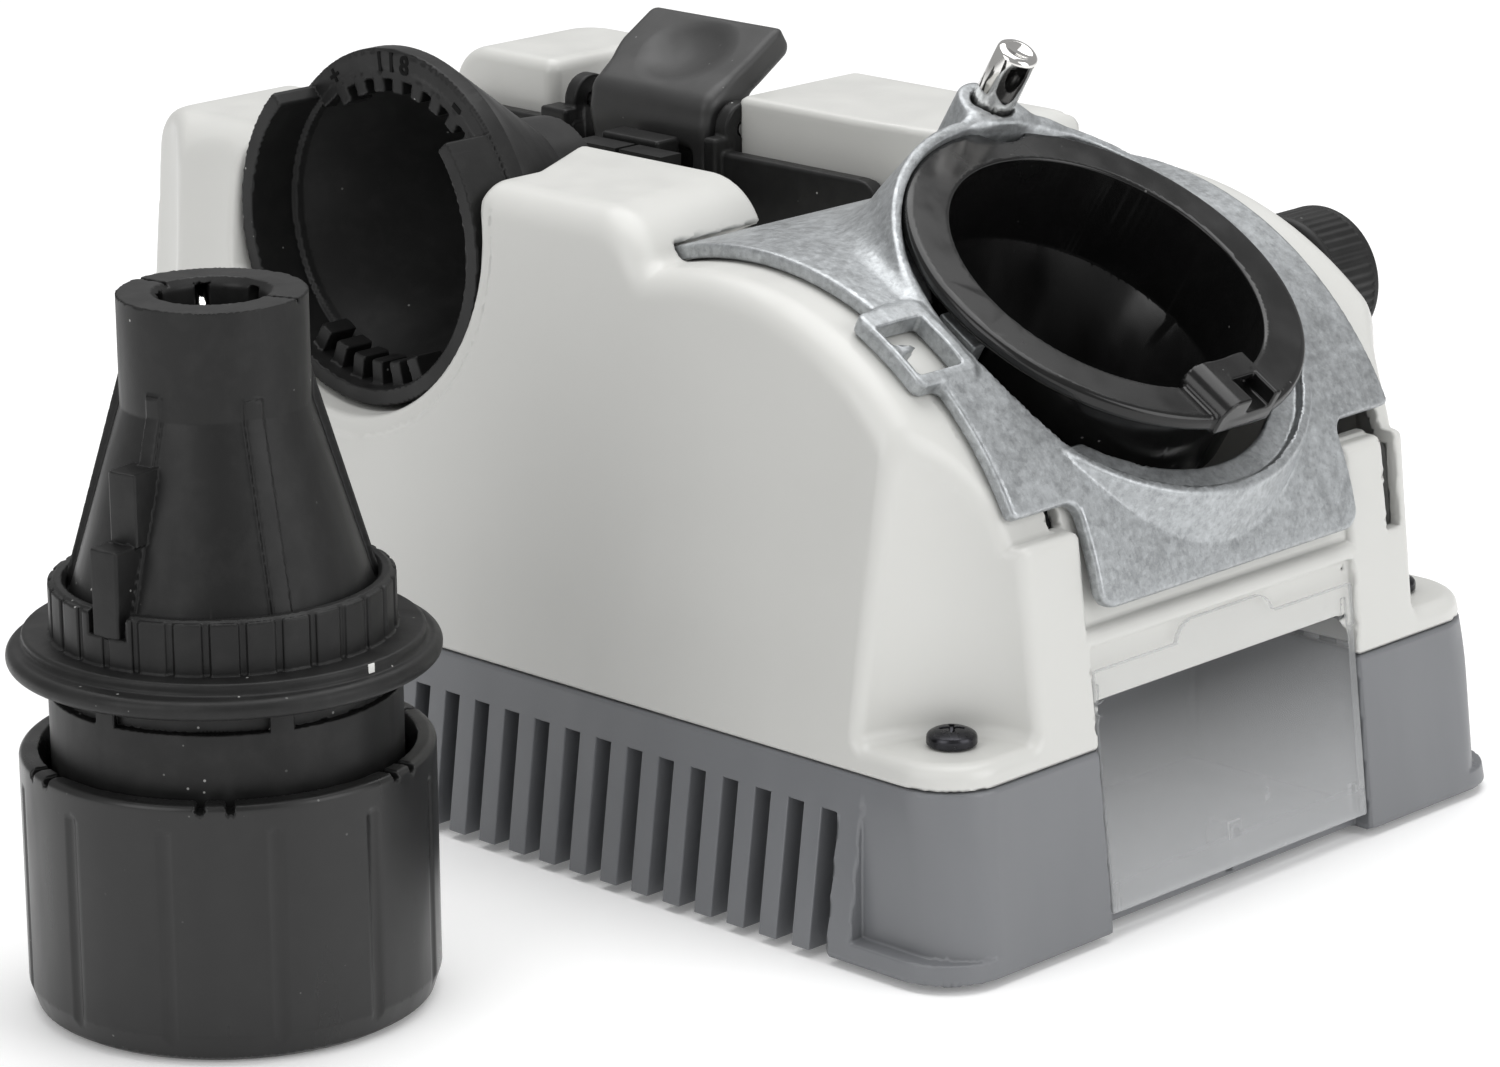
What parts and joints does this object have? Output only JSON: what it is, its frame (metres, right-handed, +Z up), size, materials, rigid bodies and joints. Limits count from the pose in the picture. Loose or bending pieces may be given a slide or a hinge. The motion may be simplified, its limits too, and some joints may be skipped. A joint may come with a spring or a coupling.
{
  "type": "drill bit sharpener",
  "caption": "Bench drill bit sharpener: two-part housing with side alignment port and thumb lever, swinging angle plate with sharpening tube, motor and wheel inside, and loose drill chuck.",
  "frame": {"origin": "on the bench under the middle of the whole object's box, the standing chuck included", "axes": "+X towards the dust door, +Y away from the alignment port's mouth, +Z up"},
  "size_m": [0.2758, 0.2996, 0.1568],
  "materials": {
    "shell": "satin moulded, warm light grey",
    "base": "fine-textured moulded, mid grey",
    "black": "fine-textured glass-filled nylon, black",
    "gloss_black": "smooth moulded, black",
    "clear": "clear moulded plastic",
    "zinc": "tumbled die casting with fine mottling",
    "chrome": "polished",
    "steel": "machined",
    "rubber": "matt",
    "grit": "bonded diamond grit",
    "brass": "turned",
    "copper": "enamelled winding",
    "board": "circuit board"
  },
  "bodies": {
    "root": {"base_tray": "base", "upper_shell": "shell", "rubber_foot_1": "rubber", "rubber_foot_2": "rubber", "rubber_foot_3": "rubber", "rubber_foot_4": "rubber", "case_screw_1": "black", "case_screw_2": "black", "case_screw_3": "black", "case_screw_4": "black", "alignment_port": "black", "lever_bracket": "black", "lever_pin": "steel", "motor_can": "steel", "motor_end_bell": "black", "stator_core": "steel", "field_winding": "copper", "rear_bearing": "steel", "front_bearing": "steel", "motor_strap": "steel", "control_board": "board", "switch_frame": "black", "cord_gland": "rubber"},
    "door": {"dust_door": "clear"},
    "lever": {"thumb_lever": "black"},
    "left_pawl": {"pawl_left": "steel"},
    "right_pawl": {"pawl_right": "steel"},
    "plate": {"angle_plate": "zinc", "cam_pin": "chrome", "tube_pivot_1": "steel", "tube_pivot_2": "steel"},
    "tube": {"sharpening_tube": "gloss_black"},
    "lock": {"lock_knob": "black", "lock_stud": "steel", "lock_washer": "steel"},
    "rotor": {"rotor_shaft": "steel", "armature": "copper", "cooling_fan": "black", "wheel_hub": "steel", "grinding_wheel": "grit", "wheel_nut": "brass"},
    "rocker": {"power_rocker": "black"},
    "chuck_grip": {"chuck_knob": "black", "chuck_spindle": "steel", "chuck_spring": "steel"},
    "chuck_nose": {"chuck_body": "black"},
    "jaw_1": {"chuck_jaw_1": "chrome"},
    "jaw_2": {"chuck_jaw_2": "chrome"},
    "jaw_3": {"chuck_jaw_3": "chrome"},
    "jaw_4": {"chuck_jaw_4": "chrome"},
    "jaw_5": {"chuck_jaw_5": "chrome"},
    "jaw_6": {"chuck_jaw_6": "chrome"}
  },
  "joints": [
    {"name": "door_hinge", "type": "hinge", "parent": "root", "child": "door", "pos_m": [0.13376, 0.05875, 0.0049], "axis": [0, 1, 0], "range_deg": [0, 80]},
    {"name": "lever_press", "type": "hinge", "parent": "root", "child": "lever", "pos_m": [-0.05137, 0.08625, 0.123], "axis": [-1, 0, 0], "range_deg": [0, 18], "stiffness_Nm_per_rad": 0.15, "springref_deg": -8.59},
    {"name": "left_pawl_slide", "type": "slide", "parent": "root", "child": "left_pawl", "axis": [-1, 0, 0], "range_m": [0, 0.009]},
    {"name": "right_pawl_slide", "type": "slide", "parent": "root", "child": "right_pawl", "axis": [1, 0, 0], "range_m": [0, 0.009]},
    {"name": "plate_swing", "type": "hinge", "parent": "root", "child": "plate", "pos_m": [0.05628, 0.05875, 0.0502], "axis": [0, -1, 0], "range_deg": [-1.5, 11]},
    {"name": "tube_rock", "type": "hinge", "parent": "plate", "child": "tube", "pos_m": [0.07135, 0.05875, 0.07498], "axis": [0, 1, 0], "range_deg": [0, 3], "stiffness_Nm_per_rad": 2, "springref_deg": -5.73},
    {"name": "lock_turn", "type": "hinge", "parent": "plate", "child": "lock", "pos_m": [0.07891, 0.13875, 0.09702], "axis": [0, 1, 0], "range_deg": [0, 270]},
    {"name": "rotor_spin", "type": "hinge", "parent": "root", "child": "rotor", "pos_m": [0.00188, 0.05875, 0.028], "axis": [1, 0, 0], "continuous": true},
    {"name": "rocker_tip", "type": "hinge", "parent": "root", "child": "rocker", "pos_m": [-0.12668, 0.05875, 0.02], "axis": [0, 0, 1], "range_deg": [-4, 4]},
    {"name": "chuck_lift", "type": "slide", "parent": "root", "child": "chuck_grip", "axis": [0, 0, 1], "range_m": [0, 0.15]},
    {"name": "chuck_turn", "type": "hinge", "parent": "chuck_grip", "child": "chuck_nose", "pos_m": [0.03128, -0.11025, 0.05], "axis": [0, 0, 1], "range_deg": [0, 540]},
    {"name": "jaw_1_slide", "type": "slide", "parent": "chuck_nose", "child": "jaw_1", "axis": [-0.866, -0.5, 0], "range_m": [0, 0.0062]},
    {"name": "jaw_2_slide", "type": "slide", "parent": "chuck_nose", "child": "jaw_2", "axis": [0, -1, 0], "range_m": [0, 0.0062]},
    {"name": "jaw_3_slide", "type": "slide", "parent": "chuck_nose", "child": "jaw_3", "axis": [0.866, -0.5, 0], "range_m": [0, 0.0062]},
    {"name": "jaw_4_slide", "type": "slide", "parent": "chuck_nose", "child": "jaw_4", "axis": [0.866, 0.5, 0], "range_m": [0, 0.0062]},
    {"name": "jaw_5_slide", "type": "slide", "parent": "chuck_nose", "child": "jaw_5", "axis": [0, 1, 0], "range_m": [0, 0.0062]},
    {"name": "jaw_6_slide", "type": "slide", "parent": "chuck_nose", "child": "jaw_6", "axis": [-0.866, 0.5, 0], "range_m": [0, 0.0062]}
  ],
  "couplings": [
    {"joint": "left_pawl_slide", "follows": "lever_press", "m_per_rad": 0.02855},
    {"joint": "right_pawl_slide", "follows": "lever_press", "m_per_rad": 0.02855},
    {"joint": "jaw_1_slide", "follows": "chuck_turn", "m_per_rad": 0.00065},
    {"joint": "jaw_2_slide", "follows": "chuck_turn", "m_per_rad": 0.00065},
    {"joint": "jaw_3_slide", "follows": "chuck_turn", "m_per_rad": 0.00065},
    {"joint": "jaw_4_slide", "follows": "chuck_turn", "m_per_rad": 0.00065},
    {"joint": "jaw_5_slide", "follows": "chuck_turn", "m_per_rad": 0.00065},
    {"joint": "jaw_6_slide", "follows": "chuck_turn", "m_per_rad": 0.00065}
  ]
}
